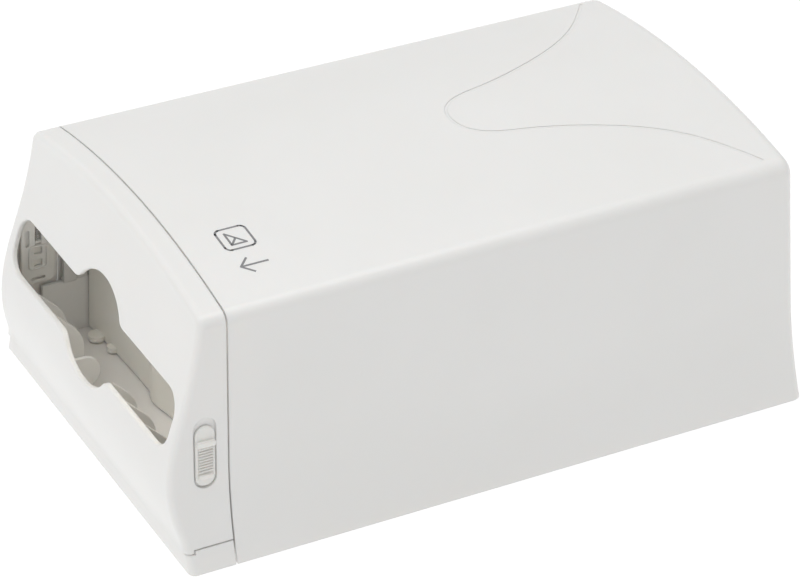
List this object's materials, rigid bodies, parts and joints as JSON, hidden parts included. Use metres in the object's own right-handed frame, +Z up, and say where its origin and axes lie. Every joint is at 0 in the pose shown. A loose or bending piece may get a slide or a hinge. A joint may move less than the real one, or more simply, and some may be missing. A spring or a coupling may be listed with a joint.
{
  "type": "tabletop interfold napkin dispenser",
  "caption": "White tabletop napkin dispenser: flared housing, hinged front cover with a wavy hand slot, side slide latches, and a spring-driven pusher behind the slot.",
  "frame": {"origin": "middle of the footprint on the plane of the rubber feet", "axes": "+X to the right seen from the front, +Y from the front cover towards the rear wall, +Z up"},
  "size_m": [0.196, 0.3166, 0.1313],
  "materials": {
    "white_abs": "fine satin moulding",
    "latch_abs": "smooth, slightly translucent",
    "carriage_plastic": "matte moulding",
    "spool_plastic": "matte moulding",
    "spring_steel": "bright rolled strip",
    "zinc_screw": "zinc plated",
    "rubber": "matte"
  },
  "bodies": {
    "housing": {"body_shell": "white_abs", "base_tray": "white_abs", "foot_front_left": "rubber", "foot_front_right": "rubber", "foot_rear_left": "rubber", "foot_rear_right": "rubber", "shell_screws": "zinc_screw", "hinge_pin_left": "spring_steel", "hinge_pin_right": "spring_steel", "catch_left": "carriage_plastic", "catch_right": "carriage_plastic", "strip_clip_left": "carriage_plastic", "strip_clip_right": "carriage_plastic", "rear_bumper_left": "rubber", "rear_bumper_right": "rubber", "spring_strip_left": "spring_steel", "spring_strip_right": "spring_steel"},
    "cover": {"front_cover": "white_abs", "latch_frame_left": "latch_abs", "latch_frame_right": "latch_abs", "latch_spring_left": "spring_steel", "latch_spring_right": "spring_steel"},
    "slider_left": {"latch_slider_left": "latch_abs"},
    "slider_right": {"latch_slider_right": "latch_abs"},
    "pusher": {"pusher_plate": "white_abs", "pusher_carriage": "carriage_plastic", "glide_shoe_left": "carriage_plastic", "glide_shoe_right": "carriage_plastic", "pusher_screws": "zinc_screw", "spool_pin_left": "spring_steel", "spool_pin_right": "spring_steel"},
    "spool_left": {"spring_spool_left": "spool_plastic", "spring_coil_left": "spring_steel"},
    "spool_right": {"spring_spool_right": "spool_plastic", "spring_coil_right": "spring_steel"}
  },
  "joints": [
    {"name": "cover_hinge", "type": "hinge", "parent": "housing", "child": "cover", "pos_m": [0, -0.1494, 0.0065], "axis": [1, 0, 0], "range_deg": [0, 85]},
    {"name": "latch_left", "type": "slide", "parent": "cover", "child": "slider_left", "axis": [0.0482, 0, 0.9988], "range_m": [0, 0.0032], "stiffness_N_per_m": 150, "springref_m": -0.004, "deforming": ["latch_spring_left"]},
    {"name": "latch_right", "type": "slide", "parent": "cover", "child": "slider_right", "axis": [-0.0482, 0, 0.9988], "range_m": [0, 0.0032], "stiffness_N_per_m": 150, "springref_m": -0.004, "deforming": ["latch_spring_right"]},
    {"name": "pusher_slide", "type": "slide", "parent": "housing", "child": "pusher", "axis": [0, 1, 0], "range_m": [0, 0.222], "stiffness_N_per_m": 8, "springref_m": -0.35, "deforming": ["spring_strip_left", "spring_strip_right"]},
    {"name": "spool_left_spin", "type": "hinge", "parent": "pusher", "child": "spool_left", "pos_m": [-0.03, -0.093, 0.01785], "axis": [-1, 0, 0], "range_deg": [0, 1595]},
    {"name": "spool_right_spin", "type": "hinge", "parent": "pusher", "child": "spool_right", "pos_m": [0.03, -0.093, 0.01785], "axis": [-1, 0, 0], "range_deg": [0, 1595]}
  ],
  "couplings": [
    {"joint": "spool_left_spin", "follows": "pusher_slide", "rad_per_m": 125},
    {"joint": "spool_right_spin", "follows": "pusher_slide", "rad_per_m": 125}
  ]
}
